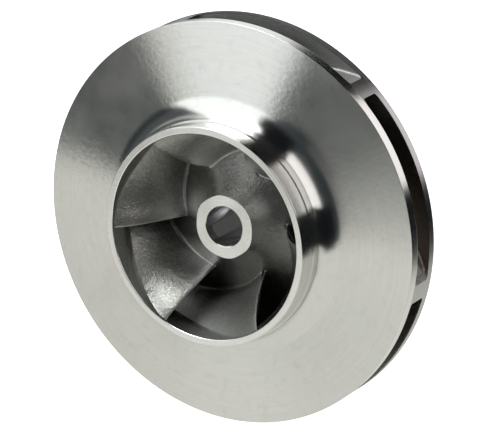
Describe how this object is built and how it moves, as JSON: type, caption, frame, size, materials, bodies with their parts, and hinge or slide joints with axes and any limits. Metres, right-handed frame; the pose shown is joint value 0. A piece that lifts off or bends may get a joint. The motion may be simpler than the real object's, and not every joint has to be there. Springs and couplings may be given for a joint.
{
  "type": "closed centrifugal pump impeller",
  "caption": "Closed impeller of a water pump: twisted swept-back vanes between a front and a back disc, a short suction neck with a turned wear land, and a keyed hub.",
  "frame": {"origin": "centre of the rear end face of the hub, on the shaft axis; the impeller lies on that face", "axes": "+Z along the shaft axis towards the suction eye, +X through the leading edge of vane_1, +Y through the keyway"},
  "size_m": [0.24, 0.24, 0.0656],
  "materials": {
    "turned_steel": "bright stainless, turned on a lathe and polished, with fine rings round the axis",
    "cast_steel": "grey stainless as cast and blasted, fine grained"
  },
  "bodies": {
    "root": {"front_shroud": "turned_steel", "eye_neck": "turned_steel", "back_shroud": "turned_steel", "hub": "turned_steel", "vane_1": "cast_steel", "vane_2": "cast_steel", "vane_3": "cast_steel", "vane_4": "cast_steel", "vane_5": "cast_steel", "vane_6": "cast_steel"}
  },
  "joints": []
}
